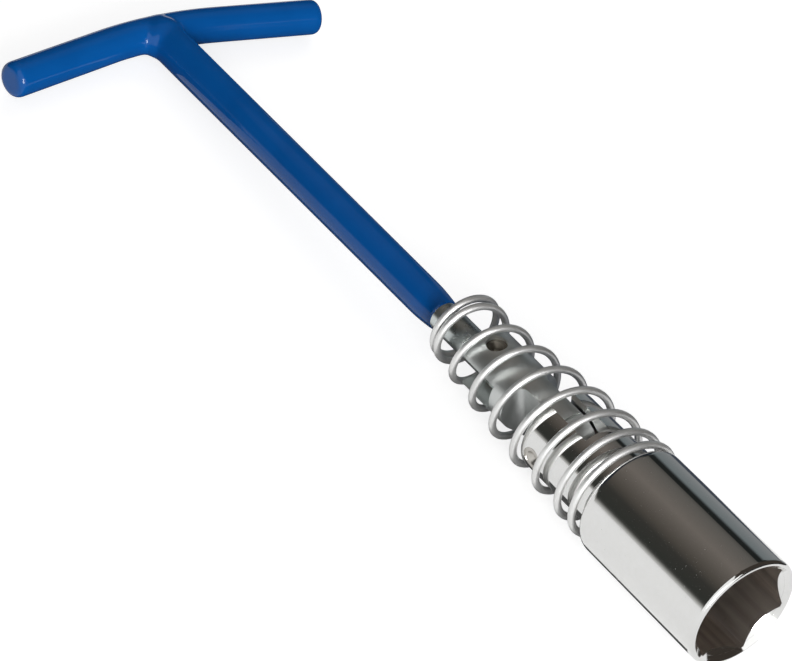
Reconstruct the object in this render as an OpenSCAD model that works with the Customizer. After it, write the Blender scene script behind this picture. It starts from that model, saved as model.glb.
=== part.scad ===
// T-handle spark plug wrench: a 21 mm hex socket on a sprung universal joint.
// The tool lies as it comes to rest: X runs toward the socket mouth, the crossbar lies along Y, Z is up.
// Every sub-part is drawn on the tool's own axis, with z = 0 at the socket mouth, and then laid down.

/* [Socket] */
// outside diameter of the socket barrel
socket_od = 27; // [25.5:0.5:32]
// length of the barrel, from the mouth to the shoulder
socket_len = 38.7; // [34:0.1:46]
// across flats of the hex mouth
hex_af = 21; // [18:0.1:21]
// depth of the hex
hex_depth = 18; // [14:0.5:20]
// outside diameter of the slotted neck
neck_od = 20; // [18.6:0.2:20.4]
// length of the slotted neck above the shoulder
neck_len = 24.1; // [22:0.1:28]

/* [Joint] */
// diameter of the round link bar
link_d = 15; // [14:0.2:15.2]
// distance between the two hinge pins
pin_gap = 26.7; // [25:0.1:30]
// thickness of the flat tongue at the foot of the link
tongue_t = 5.6; // [5:0.1:6.4]
// clearance on each side of a part that swings in a slot
slot_gap = 0.35; // [0.3:0.05:0.5]
// diameter of the upper hinge pin
upper_pin_d = 4; // [3.5:0.1:4.2]
// diameter of the lower hinge pin
lower_pin_d = 4.6; // [4:0.1:5]
// radial running clearance of a pin in the part that swings on it
pin_gap_r = 0.06; // [0.04:0.01:0.09]
// turn of the hinge pins about the tool's axis, away from the crossbar
joint_twist = -11.5; // [-30:0.5:30]
// turn of the hex about the tool's axis
hex_turn = -19; // [-30:1:30]

/* [Spring] */
// wire diameter of the conical spring
wire_d = 1.7; // [1.2:0.1:1.8]
// clearance of the coil that passes round the neck's rim, were it centred
spring_gap = 0.45; // [0.4:0.01:0.6]
// outside diameter of the top coil
spring_od_top = 18.5; // [18.4:0.1:19.2]
// distance from the upper pin to the top of the spring
spring_above_pin = 15; // [13:0.2:17]
// distance by which the whole loose spring sits off the axis
spring_shift = 0.35; // [0:0.05:0.35]
// distance by which the top coil leans further off the axis
spring_lean = 0.6; // [0:0.1:0.6]

/* [Handle] */
// diameter of the bare shaft and crossbar rods
rod_d = 7.3; // [6:0.1:7.4]
// distance from the upper pin to the crossbar
handle_len = 141.4; // [115:0.2:160]
// distance from the upper pin to the edge of the dipped coating
bare_len = 19.5; // [18:0.1:24]
// length of the crossbar over its coated ends
bar_span = 89.2; // [70:0.2:110]
// distance by which the crossbar is welded off its middle
bar_shift = 1.2; // [0:0.1:2]
// slope of each end of the bent crossbar, in degrees
bar_droop = 10.5; // [4:0.5:12]
// radius of the bend in the middle of the crossbar
bend_r = 88; // [60:1:110]
// thickness of the dipped coating on the crossbar
coat_t = 0.8; // [0.5:0.05:1]

/* [Hidden] */
$fn = 96;
eps = 0.01;
far = 40;

// barrel, mouth and neck
socket_r = socket_od / 2;
neck_r = neck_od / 2;
mouth_round = 1;
shoulder_round = 2.4;
rim_round = 0.6;
hex_corner_r = hex_af / 2 / cos(30);
hex_round_r = hex_corner_r - 0.25;
lead_r = min(hex_corner_r + 0.4, socket_r - mouth_round - 0.02);
lead_depth = lead_r - hex_af / 2 + 0.2;
bore_r = hex_af / 2 - 0.3;
bore_top = socket_len - 5;
stem_bore_r = 6.2;
grip_len = 9;
grip_r = stem_bore_r + 0.2;
groove_r = bore_r + 0.6;
grip_z = hex_depth + 2;

// hinge pins and the link between them
rim_z = socket_len + neck_len;
lower_pin_z = rim_z - 4.1;
upper_pin_z = lower_pin_z + pin_gap;
link_r = link_d / 2;
lower_pin_r = lower_pin_d / 2;
upper_pin_r = upper_pin_d / 2;
tongue_end_r = min(link_r, 7);
neck_slot_z = lower_pin_z - tongue_end_r - 2;
neck_slot_w = tongue_t + 2 * slot_gap;
link_top_z = upper_pin_z + upper_pin_r + 1.9;
fork_slot_z = upper_pin_z - 7.8;
fork_slot_w = rod_d + 2 * slot_gap;
runout_r = 3;
tongue_top_z = fork_slot_z - 4.6;
edge_round = 0.7;
pin_head = 0.45;
pin_head_len = 0.7;
lower_recess = 0.35;
upper_recess = 1.2;

// handle
rod_r = rod_d / 2;
rod_end_r = 4.1;
coat_r = rod_r + coat_t;
dip_edge_r = rod_r + coat_t * 0.3;
dip_r = rod_r + coat_t * 1.05;
root_r = rod_r + coat_t * 1.5;
cap_r = root_r + 0.03;
dip_z = upper_pin_z + bare_len;
dip_run = 8;
bar_z = upper_pin_z + handle_len;
bar_end_round = 1.8;
bend_swell = 0.04;
apex_z = bar_z + coat_r - root_r - 0.1;
web_r = 4.5;

// spring: closed turns at the top, open turns in the middle, a slower run-out that ends on the shoulder
turn_steps = 24;
wire_sides = 8;
wire_r = wire_d / 2;
closed_turns = 1.58;
open_turns = 5.7;
low_turns = 1.48;
seat_turns = 0.4;
spring_turns = closed_turns + open_turns + low_turns + seat_turns;
coil_top_r = spring_od_top / 2 - wire_r;
coil_rim_r = neck_r + spring_gap + wire_r;
coil_low_r = socket_r + 0.1 - wire_r;
seat_out = coil_low_r - spring_shift - socket_r + shoulder_round;
seat_rise = sqrt(pow(shoulder_round + wire_r, 2) - seat_out * seat_out);
spring_low_z = socket_len - shoulder_round + seat_rise + 0.05;
spring_top_z = upper_pin_z + spring_above_pin - wire_r;
closed_rise = wire_d * 1.06;
low_rise = wire_d * 3;
open_rise = spring_top_z - spring_low_z - closed_turns * closed_rise - low_turns * low_rise;
taper_power = 1.2;
spring_start = 125;
lean_turn = 30;

// resting pose: the shoulder and the crossbar both touch the floor
rest_run = apex_z - socket_len + shoulder_round;
rest_drop = socket_r - shoulder_round;
lie = asin((shoulder_round - cap_r) / norm([rest_run, rest_drop])) + atan2(rest_drop, rest_run);
floor_z = cap_r + apex_z * sin(lie);
mouth_x = mouth_round * (1 - cos(lie)) + (socket_r - mouth_round) * sin(lie);
centre_x = (apex_z * cos(lie) + cap_r - mouth_x) / 2;
centre_y = bar_shift;

// Lays the tool on the floor, centred on its length and on the crossbar's.
module lay() {
    translate([centre_x, centre_y, floor_z])
        rotate([0, -90 - lie, 0])
            children();
}

// Turns the joint parts: the upper pin lies along x and the lower pin along y.
module in_joint() {
    rotate([0, 0, joint_twist])
        children();
}

// A round bar along x or y at height z.
module bar_x(r, len, z) {
    translate([0, 0, z])
        rotate([0, 90, 0])
            cylinder(r = r, h = len, center = true);
}

module bar_y(r, len, z) {
    translate([0, 0, z])
        rotate([90, 0, 0])
            cylinder(r = r, h = len, center = true);
}

// A 2-D profile corner rounded with radius r, centred on c, seen as a full disc.
module disc_at(c, r) {
    translate(c)
        circle(r = r);
}

// A round post with both end edges rounded.
module rounded_post(r, h, edge) {
    rotate_extrude() {
        square([r - edge, h]);
        translate([0, edge])
            square([r, h - 2 * edge]);
        disc_at([r - edge, edge], edge);
        disc_at([r - edge, h - edge], edge);
    }
}

// One rivet-like pin along z: flared at each end, with a hollow in each face.
module hinge_pin(r, reach) {
    difference() {
        union() {
            cylinder(r = r, h = 2 * reach, center = true);
            for (side = [0, 1])
                mirror([0, 0, side])
                    translate([0, 0, reach - pin_head_len])
                        cylinder(r1 = r, r2 = r + pin_head, h = pin_head_len);
        }
        for (side = [0, 1])
            mirror([0, 0, side])
                translate([0, 0, reach - 1])
                    cylinder(r1 = r * 0.35, r2 = r * 0.8, h = 1 + eps);
    }
}

// The seat that a flared pin leaves in the part that holds it.
module pin_seat(r, reach) {
    cylinder(r = r, h = 2 * far, center = true);
    for (side = [0, 1])
        mirror([0, 0, side]) {
            translate([0, 0, reach - pin_head_len])
                cylinder(r1 = r, r2 = r + pin_head, h = pin_head_len);
            translate([0, 0, reach])
                cylinder(r = r + pin_head, h = far);
        }
}

module along_x(z) {
    translate([0, 0, z])
        rotate([0, 90, 0])
            children();
}

module along_y(z) {
    translate([0, 0, z])
        rotate([90, 0, 0])
            children();
}

// Barrel and neck, turned from one bar.
module socket_outside() {
    rounded_post(neck_r, rim_z, rim_round);
    rotate_extrude() {
        square([socket_r - shoulder_round, socket_len]);
        translate([0, mouth_round])
            square([socket_r, socket_len - shoulder_round - mouth_round]);
        disc_at([socket_r - mouth_round, mouth_round], mouth_round);
        disc_at([socket_r - shoulder_round, socket_len - shoulder_round], shoulder_round);
    }
}

module socket() {
    color([0.80, 0.80, 0.80])
        lay()
            difference() {
                socket_outside();
                translate([0, 0, -eps])
                    rotate([0, 0, hex_turn])
                        intersection() {
                            cylinder(r = hex_corner_r, h = hex_depth, $fn = 6);
                            cylinder(r = hex_round_r, h = hex_depth);
                        }
                translate([0, 0, -eps])
                    cylinder(r1 = lead_r, r2 = lead_r - lead_depth, h = lead_depth);
                cylinder(r = bore_r, h = bore_top);
                translate([0, 0, grip_z])
                    cylinder(r = groove_r, h = grip_len);
                cylinder(r = stem_bore_r, h = neck_slot_z + eps);
                in_joint() {
                    translate([-far, -neck_slot_w / 2, neck_slot_z])
                        cube([2 * far, neck_slot_w, far]);
                    along_y(lower_pin_z)
                        pin_seat(lower_pin_r, neck_r - lower_recess);
                }
            }
}

module plug_grip() {
    color([0.07, 0.06, 0.06])
        lay()
            translate([0, 0, grip_z])
                difference() {
                    cylinder(r = groove_r, h = grip_len);
                    translate([0, 0, -eps])
                        cylinder(r = grip_r, h = grip_len + 2 * eps);
                }
}

module lower_pin() {
    color([0.62, 0.61, 0.58])
        lay()
            in_joint()
                along_y(lower_pin_z)
                    hinge_pin(lower_pin_r, neck_r - lower_recess);
}

// One milled side of the tongue, with the curved run-out that the cutter leaves.
module tongue_cut() {
    low = lower_pin_z - far;
    translate([-far, tongue_t / 2, low])
        cube([2 * far, far, tongue_top_z - runout_r - low]);
    translate([-far, tongue_t / 2 + runout_r, low])
        cube([2 * far, far, tongue_top_z - low]);
    translate([0, tongue_t / 2 + runout_r, 0])
        bar_x(runout_r, 2 * far, tongue_top_z - runout_r);
}

module link() {
    color([0.58, 0.60, 0.59])
        lay()
            in_joint()
                difference() {
                    union() {
                        translate([0, 0, lower_pin_z])
                            rounded_post(link_r, link_top_z - lower_pin_z, edge_round);
                        translate([0, 0, lower_pin_z])
                            cylinder(r = link_r, h = 4);
                        intersection() {
                            translate([0, 0, lower_pin_z - tongue_end_r])
                                cylinder(r = link_r, h = tongue_end_r);
                            bar_y(tongue_end_r, 2 * far, lower_pin_z);
                        }
                    }
                    tongue_cut();
                    mirror([0, 1, 0])
                        tongue_cut();
                    translate([-fork_slot_w / 2, -far, fork_slot_z])
                        cube([fork_slot_w, 2 * far, far]);
                    along_x(upper_pin_z)
                        pin_seat(upper_pin_r, link_r - upper_recess);
                    bar_y(lower_pin_r + pin_gap_r, 2 * far, lower_pin_z);
                }
}

module upper_pin() {
    color([0.62, 0.61, 0.58])
        lay()
            in_joint()
                along_x(upper_pin_z)
                    hinge_pin(upper_pin_r, link_r - upper_recess);
}

// One straight end of the crossbar, drawn along z with radius r and rounded at its tip.
module bar_end(r, len, edge) {
    rotate_extrude() {
        square([r - edge, len]);
        square([r, len - edge]);
        disc_at([r - edge, len - edge], edge);
    }
}

// The bent crossbar, a hair thicker in the bend than in its straight ends, with its tips cut back by trim.
module bar_solid(r, trim, edge) {
    bend_y = bend_r * sin(bar_droop);
    lap = 1;
    translate([0, 0, bar_z - bend_r]) {
        rotate([0, -90, 0])
            rotate([0, 0, -bar_droop])
                rotate_extrude(angle = 2 * bar_droop)
                    disc_at([bend_r, 0], r + bend_swell);
        for (side = [-1, 1])
            translate([0, side * bend_y, bend_r * cos(bar_droop)])
                rotate([-side * (90 + bar_droop), 0, 0])
                    translate([0, 0, -lap])
                        bar_end(r, (bar_span / 2 - side * bar_shift - bend_y) / cos(bar_droop) - trim + lap, edge);
    }
}

module crossbar() {
    color([0.60, 0.60, 0.60])
        lay()
            bar_solid(rod_r, coat_t, 0.5);
}

module shaft_solid(r) {
    translate([0, 0, upper_pin_z])
        cylinder(r = r, h = bar_z - upper_pin_z);
}

module shaft() {
    color([0.60, 0.60, 0.60])
        lay()
            difference() {
                union() {
                    shaft_solid(rod_r);
                    intersection() {
                        translate([0, 0, upper_pin_z - rod_end_r])
                            cylinder(r = rod_r, h = rod_end_r);
                        in_joint()
                            bar_x(rod_end_r, 2 * far, upper_pin_z);
                    }
                }
                in_joint()
                    bar_x(upper_pin_r + pin_gap_r, 2 * far, upper_pin_z);
                bar_solid(rod_r, 0, 0.5);
            }
}

// The weld that fills the corner under the longer half of the crossbar, no thicker than the crossbar.
module corner_web() {
    reach = root_r + web_r;
    sag = bend_r - sqrt(bend_r * bend_r - reach * reach);
    translate([0, 0, bar_z - coat_r - web_r - sag])
        intersection() {
            rotate_extrude()
                difference() {
                    square([reach, coat_r + web_r]);
                    disc_at([reach, 0], web_r);
                }
            translate([-coat_r, -reach, 0])
                cube([2 * coat_r, reach, coat_r + web_r]);
        }
}

module handle_coating() {
    color([0.03, 0.22, 0.52])
        lay()
            difference() {
                union() {
                    bar_solid(coat_r, 0, bar_end_round);
                    translate([0, 0, apex_z])
                        sphere(r = cap_r);
                    translate([0, 0, dip_z])
                        cylinder(r1 = dip_edge_r, r2 = dip_r, h = dip_run);
                    translate([0, 0, dip_z + dip_run])
                        cylinder(r1 = dip_r, r2 = root_r, h = apex_z - dip_z - dip_run);
                    corner_web();
                }
                shaft_solid(rod_r);
                bar_solid(rod_r, coat_t, 0.5);
            }
}

// Height of the wire's centre after t turns, counted from the top coil.
function wire_z(t) =
    let (closed_top = min(t, closed_turns))
    let (opened = min(max(t - closed_turns, 0), open_turns))
    let (low = min(max(t - closed_turns - open_turns, 0), low_turns))
    spring_top_z - closed_top * closed_rise - opened / open_turns * open_rise - low * low_rise;

// Mean radius of the coil at height z: one taper down to the neck's rim, another down to the shoulder.
function coil_r(z) =
    z > rim_z
        ? coil_top_r + pow((spring_top_z - z) / (spring_top_z - rim_z), taper_power) * (coil_rim_r - coil_top_r)
        : coil_low_r + (z - spring_low_z) / (rim_z - spring_low_z) * (coil_rim_r - coil_low_r);

// The spring sits off the axis, and above the neck's rim its coils lean further and tilt with it.
function wire_ring(t) =
    let (z = wire_z(t), r = coil_r(z), a = spring_start + 360 * t)
    let (up = max(0, z - rim_z), reach = spring_top_z - rim_z)
    let (off = spring_shift + spring_lean * pow(up / reach, 2), tilt = 2 * spring_lean * up / reach / reach)
    [for (k = [0 : wire_sides - 1])
        let (b = 360 * k / wire_sides, out = r + wire_r * cos(b))
        [out * cos(a) + off * cos(lean_turn), out * sin(a) + off * sin(lean_turn),
         z + wire_r * sin(b) - tilt * out * cos(a - lean_turn)]];

module joint_spring() {
    rings = round(turn_steps * spring_turns);
    last = rings * wire_sides;
    points = [for (i = [0 : rings]) each wire_ring(spring_turns * i / rings)];
    sides = [for (i = [0 : rings - 1], k = [0 : wire_sides - 1])
        let (a = i * wire_sides + k, b = i * wire_sides + (k + 1) % wire_sides)
        [a, b, b + wire_sides, a + wire_sides]];
    first_cap = [for (k = [0 : wire_sides - 1]) wire_sides - 1 - k];
    last_cap = [for (k = [0 : wire_sides - 1]) last + k];
    color([0.66, 0.66, 0.64])
        lay()
            polyhedron(points = points, faces = concat([first_cap], sides, [last_cap]), convexity = 10);
}

shaft();
crossbar();
handle_coating();
link();
upper_pin();
lower_pin();
socket();
joint_spring();
plug_grip();
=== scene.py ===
"""Looks of a T-handle spark plug wrench: materials, the dipped skin, the coil spring, stage and camera."""
import math

import bmesh
import bpy
from mathutils import Matrix, Vector


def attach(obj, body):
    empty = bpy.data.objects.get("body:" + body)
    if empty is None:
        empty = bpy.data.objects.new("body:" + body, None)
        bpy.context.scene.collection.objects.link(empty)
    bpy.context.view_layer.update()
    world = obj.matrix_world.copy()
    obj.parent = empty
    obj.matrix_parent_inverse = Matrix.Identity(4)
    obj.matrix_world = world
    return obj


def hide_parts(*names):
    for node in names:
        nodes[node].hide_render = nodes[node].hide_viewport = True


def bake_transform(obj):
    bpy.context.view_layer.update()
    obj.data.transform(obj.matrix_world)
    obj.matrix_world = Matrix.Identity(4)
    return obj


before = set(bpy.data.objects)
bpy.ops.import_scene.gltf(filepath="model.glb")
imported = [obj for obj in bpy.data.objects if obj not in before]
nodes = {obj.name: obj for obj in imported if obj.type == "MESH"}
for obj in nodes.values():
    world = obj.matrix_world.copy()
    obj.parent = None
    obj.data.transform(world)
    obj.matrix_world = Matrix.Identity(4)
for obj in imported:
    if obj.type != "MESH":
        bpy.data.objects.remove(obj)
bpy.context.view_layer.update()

# Sizes of the handle, in millimetres, on the tool's own axis with z = 0 at the socket mouth
BAR_Z = 226.8
ROD_R = 3.65
COAT_R = 4.45
DIP_Z = 104.9
DIP_EDGE_R = 3.89
DIP_R = 4.49
DIP_RUN = 8
ROOT_R = 4.85
APEX_Z = BAR_Z + COAT_R - ROOT_R - 0.1
BAR_SPAN = 89.2
BAR_SHIFT = 1.2
BAR_DROOP = math.radians(10.5)
BEND_R = 88
TIP_ROUND = 1.8
BEAD_PLACE = (0.3, -0.6, BAR_Z - 2.6)
BEAD_RADII = (5.05, 6.1, 6.2)
WELD_REACH = 4.5

# Sizes of the socket and the joint
LEAD_R = 12.48
BARREL_END_Z = 36.0
STEM_BORE_R = 6.4
RIM_Z = 62.8
LOWER_PIN_Z = 58.7
UPPER_PIN_Z = 85.4

# Sizes of the conical spring, whose turns are counted from its top end
WIRE_R = 0.85
WIRE_D = WIRE_R * 2
COIL_TOP_R = 8.1
COIL_RIM_R = 11.5
COIL_LOW_R = 12.75
COIL_TAPER = 1.2
SPRING_TOP_Z = 99.55
SPRING_LOW_Z = 39.33
CLOSED_TURNS = 1.58
OPEN_TURNS = 5.7
LOW_TURNS = 1.48
SEAT_TURNS = 0.4
SPRING_TURNS = CLOSED_TURNS + OPEN_TURNS + LOW_TURNS + SEAT_TURNS
CLOSED_RISE = WIRE_D * 1.06
LOW_RISE = WIRE_D * 3
OPEN_RISE = (SPRING_TOP_Z - SPRING_LOW_Z - CLOSED_TURNS * CLOSED_RISE - LOW_TURNS * LOW_RISE) / OPEN_TURNS
SPRING_START = math.radians(125)
SPRING_SHIFT = 0.35
SPRING_LEAN = 0.6
TOP_LEAN = 0.9
TOP_LEAN_POWER = 8
LEAN_TURN = math.radians(30)
CUT_END = 0.86

# The tool lies on the floor, its axis sloping down toward the crossbar
LIE = math.radians(2.59687)
FLOOR_Z = 15.1333
CENTRE_X = 115.1901
CENTRE_Y = BAR_SHIFT
LAID = Matrix.Rotation(-math.pi / 2 - LIE, 4, "Y")
TO_ROW = Matrix.Scale(0.001, 4) @ Matrix.Translation((CENTRE_X, CENTRE_Y, FLOOR_Z)) @ LAID


def at(x, y, z):
    """A point of the tool's own frame, in millimetres, as a point of the row frame."""
    return TO_ROW @ Vector((x, y, z))


def new_object(name, bm):
    """A smooth-shaded object from a bmesh drawn in the tool's own frame."""
    mesh = bpy.data.meshes.new(name)
    bm.transform(TO_ROW)
    bmesh.ops.recalc_face_normals(bm, faces=bm.faces)
    bm.to_mesh(mesh)
    bm.free()
    shade_smooth(mesh)
    obj = bpy.data.objects.new(name, mesh)
    bpy.context.scene.collection.objects.link(obj)
    return obj


def shade_smooth(mesh):
    """Shades every face of a mesh as part of one smooth surface."""
    for face in mesh.polygons:
        face.use_smooth = True


def skin_rings(bm, rings):
    """Joins closed rings of vertices into a capped tube."""
    for low, high in zip(rings, rings[1:]):
        count = len(low)
        for k in range(count):
            bm.faces.new((low[k], low[(k + 1) % count], high[(k + 1) % count], high[k]))
    bm.faces.new(list(reversed(rings[0])))
    bm.faces.new(rings[-1])


def sweep(bm, profile, place, sides=64):
    """A round bar along a path, from pairs of radius and distance along the path."""
    turns = [2 * math.pi * k / sides for k in range(sides)]
    rings = []
    for radius, run in profile:
        spot = place(run)
        points = [Vector((radius * math.cos(a), radius * math.sin(a), 0)) for a in turns]
        rings.append([bm.verts.new(spot @ point) for point in points])
    skin_rings(bm, rings)


def rounded_end(radius, end, edge, steps=8):
    """Profile of a rod's end with its edge rounded, from the straight part to the face."""
    profile = []
    for k in range(steps + 1):
        turn = math.pi / 2 * k / steps
        profile.append((radius - edge + edge * math.cos(turn), end - edge + edge * math.sin(turn)))
    return profile


# Blue dipped skin: shaft, crossbar and the weld between them flow into one another
def on_axis(run):
    """Place on the tool's axis at a distance from the mouth."""
    return Matrix.Translation((0, 0, run))


def on_crossbar(run):
    """Place on the bent crossbar's centre line at a distance from its middle."""
    turn = max(-BAR_DROOP, min(BAR_DROOP, run / BEND_R))
    straight = run - turn * BEND_R
    y = BEND_R * math.sin(turn) + straight * math.cos(turn)
    z = BAR_Z - BEND_R * (1 - math.cos(turn)) - straight * math.sin(turn)
    return Matrix.Translation((0, y, z)) @ Matrix.Rotation(-math.pi / 2 - turn, 4, "X")


def crossbar_tip(side):
    """Distance from the middle of the bend to one tip, along the bar."""
    straight = BAR_SPAN / 2 - side * BAR_SHIFT - BEND_R * math.sin(BAR_DROOP)
    return BEND_R * BAR_DROOP + straight / math.cos(BAR_DROOP)


def add_shaft(bm, swell_steps=8):
    """The dipped shaft, from the thin lip of the coating to the round end behind the crossbar."""
    profile = [(ROD_R + 0.02, DIP_Z), (DIP_EDGE_R - 0.06, DIP_Z + 0.05), (DIP_EDGE_R, DIP_Z + 0.3)]
    for k in range(1, swell_steps + 1):
        radius = DIP_EDGE_R + (DIP_R - DIP_EDGE_R) * math.sin(math.pi / 2 * k / swell_steps)
        profile.append((radius, DIP_Z + DIP_RUN * k / swell_steps))
    sweep(bm, profile + rounded_end(ROOT_R, APEX_Z + ROOT_R, ROOT_R - 0.05, 16), on_axis)


def add_crossbar(bm):
    """The bent bar with both tips rounded."""
    left = [(radius, -run) for radius, run in reversed(rounded_end(COAT_R, crossbar_tip(-1), TIP_ROUND))]
    middle = [(COAT_R, run) for run in range(-40, 41, 2)]
    sweep(bm, left + middle + rounded_end(COAT_R, crossbar_tip(1), TIP_ROUND), on_crossbar)


def add_weld(bm, side, reach, steps=6, sides=16):
    """A tapering wedge in the corner between the shaft and one half of the crossbar."""
    start = 1.5
    root_half = 3.3
    taper = 0.6
    lift = 0.3
    trim = 0.2
    rings = []
    for step in range(steps + 1):
        part = step / steps
        along = side * (start + (ROOT_R + reach - start) * part)
        top = on_crossbar(along).translation.z
        fall = COAT_R + reach * (1 - math.sqrt(max(0.0, 1 - (1 - part) ** 2)))
        half = root_half - taper * part
        ring = []
        for k in range(sides):
            turn = 2 * math.pi * k / sides
            height = top - fall / 2 + lift + (fall / 2 - trim) * math.sin(turn)
            ring.append(bm.verts.new((half * math.cos(turn), along, height)))
        rings.append(ring)
    skin_rings(bm, rings)


def build_skin():
    """The overlapping forms of the skin: shaft, bead of weld, crossbar and the wedge in one corner."""
    bm = bmesh.new()
    add_shaft(bm)
    bead = Matrix.Translation(BEAD_PLACE) @ Matrix.Diagonal((*BEAD_RADII, 1))
    bmesh.ops.create_uvsphere(bm, u_segments=48, v_segments=32, radius=1, matrix=bead)
    add_crossbar(bm)
    add_weld(bm, -1, WELD_REACH)
    return new_object("handle_skin", bm)


def apply_modifiers(obj):
    """Replaces the object's mesh with its evaluated mesh."""
    graph = bpy.context.evaluated_depsgraph_get()
    mesh = bpy.data.meshes.new_from_object(obj.evaluated_get(graph))
    obj.modifiers.clear()
    obj.data = mesh


def soften(obj, rounds, group=""):
    """Evens out the surface, everywhere or only where a vertex group has weight."""
    smooth = obj.modifiers.new("soften", "SMOOTH")
    smooth.factor = 0.5
    smooth.iterations = rounds
    smooth.vertex_group = group


def finish_skin(skin):
    """Fuses the overlapping forms into one surface and softens it, most of all on the welded side."""
    weld_centre = at(0, -6, BAR_Z - 3)
    weld_radius = 0.014
    weight_rise = 1.8
    fuse = skin.modifiers.new("fuse", "REMESH")
    fuse.mode = "VOXEL"
    fuse.voxel_size = 0.00036
    fuse.use_smooth_shade = True
    soften(skin, 7)
    apply_modifiers(skin)
    weld = skin.vertex_groups.new(name="weld")
    for vertex in skin.data.vertices:
        near = 1 - (vertex.co - weld_centre).length / weld_radius
        if near > 0:
            weld.add([vertex.index], min(1.0, near * weight_rise), "REPLACE")
    soften(skin, 40, "weld")
    apply_modifiers(skin)
    shade_smooth(skin.data)


# Conical spring: closed turns at the top, open turns in the middle, a slower run-out down to the shoulder
def wire_z(turn):
    """Height of the wire's centre after some turns, before changes of rise are eased."""
    top = min(turn, CLOSED_TURNS)
    middle = min(max(turn - CLOSED_TURNS, 0), OPEN_TURNS)
    low = min(max(turn - CLOSED_TURNS - OPEN_TURNS, 0), LOW_TURNS)
    return SPRING_TOP_Z - top * CLOSED_RISE - middle * OPEN_RISE - low * LOW_RISE


def wire_point(turn):
    """Centre of the wire after some turns: changes of rise are eased, and the upper coils lean and tilt."""
    eases = [0.05 * k for k in range(-5, 6)]
    z = sum(wire_z(min(max(turn + ease, 0), SPRING_TURNS)) for ease in eases) / len(eases)
    reach = SPRING_TOP_Z - RIM_Z
    if z > RIM_Z:
        radius = COIL_TOP_R + ((SPRING_TOP_Z - z) / reach) ** COIL_TAPER * (COIL_RIM_R - COIL_TOP_R)
    else:
        radius = COIL_LOW_R + (z - SPRING_LOW_Z) / (RIM_Z - SPRING_LOW_Z) * (COIL_RIM_R - COIL_LOW_R)
    angle = SPRING_START + 2 * math.pi * turn
    part = max(0, z - RIM_Z) / reach
    off = SPRING_SHIFT + SPRING_LEAN * part**2 + TOP_LEAN * part**TOP_LEAN_POWER
    drop = 2 * SPRING_LEAN * part / reach * radius * math.cos(angle - LEAN_TURN)
    x = radius * math.cos(angle) + off * math.cos(LEAN_TURN)
    y = radius * math.sin(angle) + off * math.sin(LEAN_TURN)
    return Vector((x, y, z - drop))


def build_coil(name, first, last, steps_per_turn=56, sides=16):
    """One stretch of the spring's wire, with the spring's own cut ends slightly rounded."""
    nudge = 0.004
    bm = bmesh.new()
    steps = round((last - first) * steps_per_turn)
    rings = []
    for i in range(steps + 1):
        turn = first + (last - first) * i / steps
        angle = SPRING_START + 2 * math.pi * turn
        centre = wire_point(turn)
        ahead = (wire_point(turn + nudge) - wire_point(turn - nudge)).normalized()
        side = ahead.cross(Vector((math.cos(angle), math.sin(angle), 0))).normalized()
        outward = side.cross(ahead)
        thin = CUT_END if turn in (0, SPRING_TURNS) else 1.0
        ring = []
        for k in range(sides):
            a = 2 * math.pi * k / sides
            ring.append(bm.verts.new(centre + WIRE_R * thin * (math.cos(a) * outward + math.sin(a) * side)))
        rings.append(ring)
    skin_rings(bm, rings)
    return new_object(name, bm)


# Materials
class Graph:
    """Short ways to add and join the shader nodes of one new material."""

    def __init__(self, name):
        self.material = bpy.data.materials.new(name)
        self.material.use_nodes = True
        self.tree = self.material.node_tree
        self.shader = self.tree.nodes["Principled BSDF"]
        self.coords = self.tree.nodes.new("ShaderNodeTexCoord").outputs["Object"]

    def feed(self, socket, value):
        """Joins another node's output to an input, or sets the input to a constant."""
        if isinstance(value, bpy.types.NodeSocket):
            self.tree.links.new(value, socket)
        else:
            socket.default_value = value

    def add(self, kind, inputs=(), **values):
        """A new node with its properties set and its inputs fed."""
        node = self.tree.nodes.new(kind)
        for key, value in values.items():
            setattr(node, key, value)
        for key, value in dict(inputs).items():
            self.feed(node.inputs[key], value)
        return node

    def noise(self, scale, detail=3.0, stretch=None):
        """Cloudy values round one half, drawn out along an axis if a stretch is given."""
        coords = self.coords
        if stretch:
            coords = self.add("ShaderNodeMapping", {"Vector": coords, "Scale": stretch}).outputs["Vector"]
        inputs = {"Vector": coords, "Scale": scale, "Detail": detail}
        return self.add("ShaderNodeTexNoise", inputs).outputs["Fac"]

    def spread(self, value, low, high, from_low=0.3, from_high=0.7):
        """A value moved from one range to another."""
        inputs = {"Value": value, "From Min": from_low, "From Max": from_high, "To Min": low, "To Max": high}
        return self.add("ShaderNodeMapRange", inputs).outputs["Result"]

    def mix(self, factor, first, second):
        """A blend of two colours."""
        node = self.add("ShaderNodeMix", data_type="RGBA")
        for index, value in ((0, factor), (6, first), (7, second)):
            self.feed(node.inputs[index], value)
        return node.outputs[2]

    def math(self, operation, first, second):
        """One sum on two values."""
        return self.add("ShaderNodeMath", {0: first, 1: second}, operation=operation).outputs[0]

    def bump(self, height, strength, distance):
        """A normal that shows small relief."""
        inputs = {"Height": height, "Strength": strength, "Distance": distance}
        return self.add("ShaderNodeBump", inputs).outputs["Normal"]

    def set(self, **values):
        """Feeds the main shader and gives back the finished material."""
        for key, value in values.items():
            self.feed(self.shader.inputs[key.replace("_", " ")], value)
        return self.material


def blue_dip():
    """Dipped plastic: even colour with slow sags in the gloss."""
    g = Graph("blue_dip")
    colour = g.mix(g.spread(g.noise(90, 2), 0, 1), (0.0012, 0.073, 0.285, 1), (0.0018, 0.082, 0.315, 1))
    sag = g.bump(g.noise(60, 2, (0.35, 1, 1)), 0.05, 0.0006)
    return g.set(
        Base_Color=colour,
        Roughness=g.spread(g.noise(300), 0.07, 0.11),
        Specular_IOR_Level=0.30,
        Normal=sag,
    )


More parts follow.
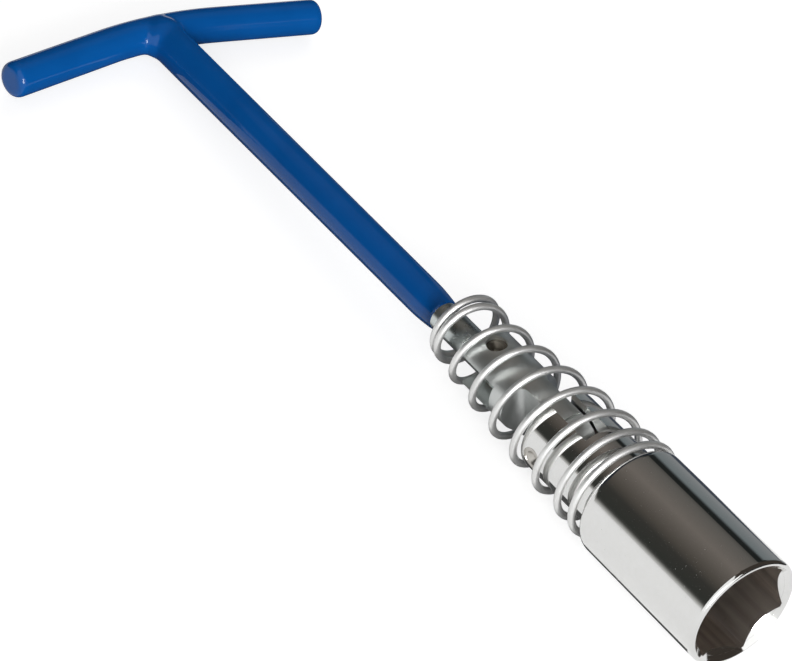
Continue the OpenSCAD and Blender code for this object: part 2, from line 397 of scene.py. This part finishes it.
def plated_steel(name, first, second, rough, grain_scale, grain, metallic=1.0):
    """Dull plated steel: cloudy colour, uneven gloss and fine scratches."""
    g = Graph(name)
    cloud = g.noise(160, 4)
    colour = g.mix(g.spread(cloud, 0, 1), first, second)
    scratches = g.noise(grain_scale, 5, (1, 0.12, 0.12))
    return g.set(
        Base_Color=colour,
        Metallic=metallic,
        Roughness=g.spread(g.noise(420, 4), rough[0], rough[1]),
        Normal=g.bump(scratches, grain, 0.0002),
    )


def axis_parts(g):
    """Distance from the tool's axis and distance from the mouth, in millimetres."""
    mouth = at(0, 0, 0)
    aim = at(0, 0, 1000) - mouth
    place = g.add("ShaderNodeVectorMath", {0: g.coords, 1: mouth}, operation="SUBTRACT").outputs["Vector"]
    along = g.add("ShaderNodeVectorMath", {0: place, 1: aim}, operation="DOT_PRODUCT").outputs["Value"]
    length = g.add("ShaderNodeVectorMath", {0: place}, operation="LENGTH").outputs["Value"]
    away = g.math("SUBTRACT", g.math("MULTIPLY", length, length), g.math("MULTIPLY", along, along))
    radius = g.math("SQRT", g.math("MAXIMUM", away, 0.0), 0.0)
    return g.math("MULTIPLY", radius, 1000.0), g.math("MULTIPLY", along, 1000.0)


def chrome():
    """Polished plate outside, dark unplated steel down the hex and the bore."""
    g = Graph("chrome")
    radius, depth = axis_parts(g)
    past_lead = g.math("GREATER_THAN", g.math("ADD", radius, depth), LEAD_R + 0.12)
    off_wall = g.math("LESS_THAN", radius, LEAD_R - 0.15)
    in_barrel = g.math("MULTIPLY", off_wall, g.math("LESS_THAN", depth, BARREL_END_Z))
    in_stem = g.math("LESS_THAN", radius, STEM_BORE_R)
    inside = g.math("MULTIPLY", past_lead, g.math("MAXIMUM", in_barrel, in_stem))
    streaks = g.spread(g.noise(420, 5, (0.06, 1, 1)), 0, 1)
    dark = g.mix(streaks, (0.30, 0.26, 0.23, 1), (0.54, 0.48, 0.43, 1))
    plate = g.mix(g.spread(g.noise(900, 2), 0, 1), (0.80, 0.80, 0.79, 1), (0.785, 0.785, 0.77, 1))
    rough = g.spread(g.noise(300, 4), 0.06, 0.10)
    specks = g.spread(g.noise(1500, 2), 0, 0.30, 0.70, 0.78)
    rough = g.math("ADD", rough, specks)
    rough = g.math("ADD", rough, g.math("MULTIPLY", inside, 0.38))
    return g.set(
        Base_Color=g.mix(inside, plate, dark),
        Metallic=1.0,
        Roughness=rough,
        Normal=g.bump(g.noise(130, 2), 0.03, 0.0004),
    )


def rubber():
    """Matt black rubber with a fine grain."""
    g = Graph("black_rubber")
    colour = g.mix(g.spread(g.noise(300), 0, 1), (0.010, 0.009, 0.009, 1), (0.022, 0.020, 0.019, 1))
    return g.set(
        Base_Color=colour,
        Roughness=g.spread(g.noise(700), 0.6, 0.8),
        Normal=g.bump(g.noise(900), 0.2, 0.0003),
    )


def dress(node, material):
    """Puts one material into every slot of a node."""
    for slot in nodes[node].material_slots:
        slot.material = material


zinc_rod = plated_steel("zinc_rod", (0.54, 0.58, 0.57, 1), (0.66, 0.70, 0.69, 1), (0.24, 0.34), 260, 0.025)
zinc_link = plated_steel(
    "zinc_link", (0.56, 0.58, 0.57, 1), (0.70, 0.72, 0.71, 1), (0.30, 0.40), 200, 0.025, metallic=0.9
)
# Upper pin: a darkened copy of the lower pin's steel, painted shade for the recess around its end
pin_painted_shade = plated_steel("pin_painted_shade", (0.12, 0.11, 0.09, 1), (0.20, 0.18, 0.15, 1), (0.40, 0.55), 300, 0.15)
pin_steel = plated_steel("pin_steel", (0.46, 0.44, 0.41, 1), (0.62, 0.60, 0.56, 1), (0.28, 0.40), 300, 0.15)
spring_wire = plated_steel(
    "spring_wire", (0.74, 0.74, 0.73, 1), (0.84, 0.84, 0.83, 1), (0.36, 0.44), 500, 0.05, metallic=0.85
)
dress("shaft", zinc_rod)
dress("crossbar", zinc_rod)
dress("link", zinc_link)
dress("upper_pin", pin_painted_shade)
dress("lower_pin", pin_steel)
dress("socket", chrome())
dress("plug_grip", rubber())

skin = build_skin()
finish_skin(skin)
skin.data.materials.append(blue_dip())
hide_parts("handle_coating")
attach(skin, "handle")

# The spring is split halfway between the pins, where its wire passes the far side
SPLIT_TURN = 4.03
coil_top = build_coil("spring_top", 0, SPLIT_TURN)
coil_low = build_coil("spring_low", SPLIT_TURN, SPRING_TURNS)
for coil, above, below, pin in (
    (coil_top, "handle", "mid_link", UPPER_PIN_Z),
    (coil_low, "mid_link", "socket_head", LOWER_PIN_Z),
):
    coil.data.materials.append(spring_wire)
    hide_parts("joint_spring")
    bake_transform(coil)

# Stage, in metres: white floor, soft lamps, and a canopy and cards that only reflections see
FLOOR_HALF = 6
FLOOR_GLOW = 0.76
MIRROR_GLOW = 0.56
SKY_FILL = 0.24
SKY_SEEN = 1.0
AXIS_HEIGHT = 0.013
CANOPY_FRONT = -0.1
STAGE_END = 3.0
CARD_Z = 0.0004
CARD_FAR_Y = 1.6
FRONT_X = 1.6
NEAR_BLACK = (0.03, 0.03, 0.03)
BLUE_SHADE = (0.05, 0.06, 0.08)
CAMERA_PLACE = Vector((0.380174, -0.377234, 0.418275))
CAMERA_AIM = Vector((0.010144, -0.011848, 0.010000))
CAMERA_ROLL = math.radians(15.5557)
CAMERA_LENS = 136.364
CAMERA_SENSOR = 36


def ray_kind(tree, *names):
    """1 for rays of any of the named kinds."""
    path = tree.nodes.new("ShaderNodeLightPath")
    total = path.outputs[names[0]]
    for name in names[1:]:
        add = tree.nodes.new("ShaderNodeMath")
        add.operation = "MAXIMUM"
        tree.links.new(total, add.inputs[0])
        tree.links.new(path.outputs[name], add.inputs[1])
        total = add.outputs[0]
    return total


def stage_sheet(name, rows):
    """A stage surface through rows of points, two to a row."""
    bm = bmesh.new()
    edges = [[bm.verts.new(point) for point in row] for row in rows]
    for low, high in zip(edges, edges[1:]):
        bm.faces.new((low[0], low[1], high[1], high[0]))
    mesh = bpy.data.meshes.new(name)
    bm.to_mesh(mesh)
    bm.free()
    sheet = bpy.data.objects.new(name, mesh)
    bpy.context.scene.collection.objects.link(sheet)
    material = bpy.data.materials.new(name)
    material.use_nodes = True
    mesh.materials.append(material)
    return sheet, material.node_tree


def make_floor():
    """A white floor whose brightness is set apart for the camera and for reflections."""
    rows = [((-FLOOR_HALF, y, 0), (FLOOR_HALF, y, 0)) for y in (-FLOOR_HALF, FLOOR_HALF)]
    _, tree = stage_sheet("floor", rows)
    shader = tree.nodes["Principled BSDF"]
    shader.inputs["Base Color"].default_value = (0.42, 0.42, 0.42, 1)
    shader.inputs["Roughness"].default_value = 1.0
    shader.inputs["Specular IOR Level"].default_value = 0.0
    shader.inputs["Emission Color"].default_value = (1, 1, 1, 1)
    direct = tree.nodes.new("ShaderNodeMath")
    direct.operation = "MULTIPLY"
    direct.inputs[1].default_value = FLOOR_GLOW
    tree.links.new(ray_kind(tree, "Is Camera Ray", "Is Transmission Ray"), direct.inputs[0])
    glow = tree.nodes.new("ShaderNodeMath")
    glow.operation = "MULTIPLY_ADD"
    glow.inputs[1].default_value = MIRROR_GLOW
    tree.links.new(ray_kind(tree, "Is Glossy Ray"), glow.inputs[0])
    tree.links.new(direct.outputs[0], glow.inputs[2])
    tree.links.new(glow.outputs[0], shader.inputs["Emission Strength"])


def mirrored_sheet(name, rows):
    """A sheet of plain emission that only reflections see, as its node tree and its colour input."""
    sheet, tree = stage_sheet(name, rows)
    sheet.visible_camera = False
    sheet.visible_diffuse = False
    sheet.visible_shadow = False
    sheet.visible_transmission = False
    tree.nodes.remove(tree.nodes["Principled BSDF"])
    glow = tree.nodes.new("ShaderNodeEmission")
    tree.links.new(glow.outputs[0], tree.nodes["Material Output"].inputs["Surface"])
    return tree, glow.inputs["Color"]


def card(name, rows, colour):
    """A bright or dark sheet of one colour that only reflections see."""
    _, tint = mirrored_sheet(name, rows)
    tint.default_value = (*colour, 1)


def floor_card(name, x_range, y_range, colour):
    """A card that lies just above the floor."""
    card(name, [[(x, y, CARD_Z) for x in x_range] for y in y_range], colour)


def wall_card(name, x, y_range, top, colour):
    """A card that stands on the floor, across the tool's axis."""
    card(name, [[(x, y, z) for y in y_range] for z in (0, top)], colour)


def arch(first, last, back, front, radius=1.6, steps=60):
    """Rows of points of an arch over the tool's axis, between two angles from upright toward +Y."""
    rows = []
    for i in range(steps + 1):
        angle = math.radians(first + (last - first) * i / steps)
        y = radius * math.sin(angle)
        z = AXIS_HEIGHT + radius * math.cos(angle)
        rows.append(((back, y, z), (front, y, z)))
    return rows


def make_canopy():
    """An arch over the handle's side: dark over the near side and the top, grey low on the far side."""
    tree, tint = mirrored_sheet("canopy", arch(-91, 91, -STAGE_END, CANOPY_FRONT))
    place = tree.nodes.new("ShaderNodeSeparateXYZ")
    tree.links.new(tree.nodes.new("ShaderNodeTexCoord").outputs["Object"], place.inputs[0])
    angle = tree.nodes.new("ShaderNodeMath")
    angle.operation = "ARCTAN2"
    tree.links.new(place.outputs["Y"], angle.inputs[0])
    tree.links.new(place.outputs["Z"], angle.inputs[1])
    part = tree.nodes.new("ShaderNodeMapRange")
    part.inputs["From Min"].default_value = math.radians(-90)
    part.inputs["From Max"].default_value = math.radians(90)
    tree.links.new(angle.outputs[0], part.inputs["Value"])
    ramp = tree.nodes.new("ShaderNodeValToRGB")
    stops = (
        (0.00, (0.620, 0.620, 0.610)),
        (0.012, (0.470, 0.470, 0.455)),
        (0.04, (0.120, 0.120, 0.112)),
        (0.055, (0.045, 0.045, 0.042)),
        (0.08, (0.034, 0.036, 0.032)),
        (0.20, (0.040, 0.039, 0.035)),
        (0.28, (0.080, 0.071, 0.061)),
        (0.50, (0.172, 0.152, 0.136)),
        (0.71, (0.118, 0.112, 0.103)),
        (0.765, (0.016, 0.018, 0.017)),
        (0.81, (0.014, 0.016, 0.016)),
        (0.85, (0.165, 0.190, 0.198)),
        (1.00, (0.225, 0.240, 0.248)),
    )
    while len(ramp.color_ramp.elements) < len(stops):
        ramp.color_ramp.elements.new(0.5)
    for element, (position, colour) in zip(ramp.color_ramp.elements, stops):
        element.position = position
        element.color = (*colour, 1)
    tree.links.new(part.outputs["Result"], ramp.inputs["Fac"])
    tree.links.new(ramp.outputs["Color"], tint)


def make_cards():
    """Shades on the floor under and beside the tool, and bright and dark walls behind it and before it."""
    shade_back = -0.085
    under_far_y = 0.012
    shaft_far_y = 0.12
    card_split_x = 0.112
    bar_back = -0.14
    front_split_y = 0.4
    card("far_shade", arch(-9, 91, CANOPY_FRONT, STAGE_END), (0.045, 0.038, 0.032))
    floor_card("far_card", (-STAGE_END, card_split_x), (shaft_far_y, CARD_FAR_Y), (0.235, 0.246, 0.254))
    wall_card("back_card", -1.5, (-0.5, 0.8), 0.3, (1, 1, 1))
    under_edge = (
        (shade_back, -0.0045), (0.010, -0.005), (0.018, -0.0095),
        (0.070, -0.0095), (0.078, -0.0085), (0.11, -0.0085),
    )
    under_rows = [((x, y, CARD_Z), (x, under_far_y, CARD_Z)) for x, y in under_edge]
    card("under_shade", under_rows, (0.07, 0.07, 0.07))
    floor_card("shaft_shade", (shade_back, 0.07), (under_far_y, shaft_far_y), BLUE_SHADE)
    bar_edge = (
        (-0.044, -0.085), (-0.017, -0.085), (-0.010, -0.099),
        (-0.0046, -0.099), (-0.0045, -0.085), (0.2, -0.085),
    )
    bar_rows = [((bar_back, y, CARD_Z), (x, y, CARD_Z)) for y, x in bar_edge]
    card("bar_shade", bar_rows, BLUE_SHADE)
    floor_card("side_shade", (card_split_x, STAGE_END), (0.125, CARD_FAR_Y), NEAR_BLACK)
    wall_card("back_shade", -0.3, (-0.2, 0.4), 0.25, (0.02, 0.025, 0.035))
    wall_card("front_card", FRONT_X, (-2, front_split_y), 1.2, (1.25, 1.25, 1.25))
    wall_card("front_shade", FRONT_X, (front_split_y, CARD_FAR_Y), 0.6, NEAR_BLACK)


def make_world():
    """A white sky, dimmer as a fill light than as it is seen and mirrored."""
    world = bpy.data.worlds.new("studio")
    bpy.context.scene.world = world
    world.use_nodes = True
    tree = world.node_tree
    sky = tree.nodes["Background"]
    sky.inputs["Color"].default_value = (1, 1, 1, 1)
    level = tree.nodes.new("ShaderNodeMapRange")
    level.inputs["To Min"].default_value = SKY_FILL
    level.inputs["To Max"].default_value = SKY_SEEN
    seen = ray_kind(tree, "Is Camera Ray", "Is Glossy Ray", "Is Transmission Ray")
    tree.links.new(seen, level.inputs["Value"])
    tree.links.new(level.outputs["Result"], sky.inputs["Strength"])


def add_lamp(name, place, target, size, power, mirrored):
    """A soft rectangular lamp aimed at a point, seen in reflections only if it is mirrored."""
    data = bpy.data.lights.new(name, "AREA")
    data.shape = "RECTANGLE"
    data.size, data.size_y = size
    data.energy = power
    lamp = bpy.data.objects.new(name, data)
    lamp.location = place
    lamp.rotation_euler = (Vector(target) - Vector(place)).to_track_quat("-Z", "Y").to_euler()
    lamp.visible_glossy = mirrored
    bpy.context.scene.collection.objects.link(lamp)


def make_camera():
    """A long lens that looks down on the tool from the socket's end, slightly rolled."""
    data = bpy.data.cameras.new("camera")
    data.sensor_fit = "HORIZONTAL"
    data.sensor_width = CAMERA_SENSOR
    data.lens = CAMERA_LENS
    data.clip_end = 20
    camera = bpy.data.objects.new("camera", data)
    look = (CAMERA_AIM - CAMERA_PLACE).to_track_quat("-Z", "Y").to_matrix().to_4x4()
    camera.matrix_world = Matrix.Translation(CAMERA_PLACE) @ look @ Matrix.Rotation(CAMERA_ROLL, 4, "Z")
    bpy.context.scene.collection.objects.link(camera)
    bpy.context.scene.camera = camera


make_floor()
make_canopy()
make_cards()
make_world()
add_lamp("key", (1.45, -0.35, 0.70), (0, 0, 0.01), (1.5, 1.2), 10, False)
add_lamp("glint", (1.35, -0.62, 0.42), (-0.1, 0, 0.01), (0.50, 0.70), 21, True)
add_lamp("back_fill", (-0.9, 0.9, 0.75), (0, 0, 0.01), (1.4, 1.0), 8.6, False)
make_camera()
bpy.context.scene.view_settings.view_transform = "Standard"
